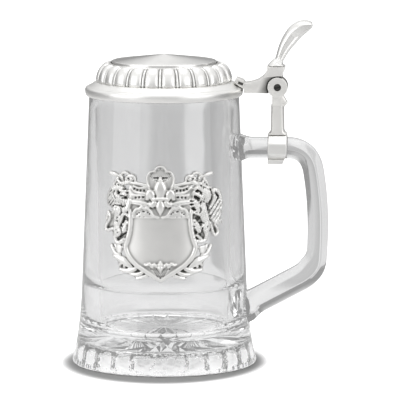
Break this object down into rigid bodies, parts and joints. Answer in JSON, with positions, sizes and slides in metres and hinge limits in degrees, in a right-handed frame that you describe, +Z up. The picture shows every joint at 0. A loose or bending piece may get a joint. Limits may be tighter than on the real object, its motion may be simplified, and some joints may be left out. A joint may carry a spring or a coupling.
{
  "type": "lidded beer stein",
  "caption": "Clear glass beer stein with a loop handle, a hinged gadrooned pewter lid worked by a thumblift, and a cast pewter crest on its front.",
  "frame": {"origin": "on the axis of the glass, in the plane of the flat ring that it stands on", "axes": "+Z up along the axis of the glass, +X towards the handle and the hinge, -Y towards the crest"},
  "size_m": [0.1437, 0.1034, 0.193],
  "materials": {
    "clear_glass": "clear pressed glass, fire polished",
    "clear_adhesive": "thin film of clear adhesive",
    "antiqued_pewter": "cast pewter, polished high spots and dark patina in the recesses",
    "bright_pewter": "polished pewter",
    "satin_pewter": "satin cast pewter",
    "turned_pewter": "pewter turned on a lathe, fine concentric marks",
    "pin_steel": "slotted pin, dull"
  },
  "bodies": {
    "tankard": {"glass_tankard": "clear_glass", "crest_bond": "clear_adhesive", "crest_badge": "antiqued_pewter", "handle_strap": "bright_pewter", "hinge_shank": "satin_pewter", "hinge_pin": "pin_steel"},
    "lid": {"lid_casting": "bright_pewter", "lid_disc": "turned_pewter", "lid_tang": "satin_pewter", "thumblift": "bright_pewter"}
  },
  "joints": [
    {"name": "lid_hinge", "type": "hinge", "parent": "tankard", "child": "lid", "pos_m": [0.0635, 0, 0.1558], "axis": [0, 1, 0], "range_deg": [0, 105]}
  ]
}
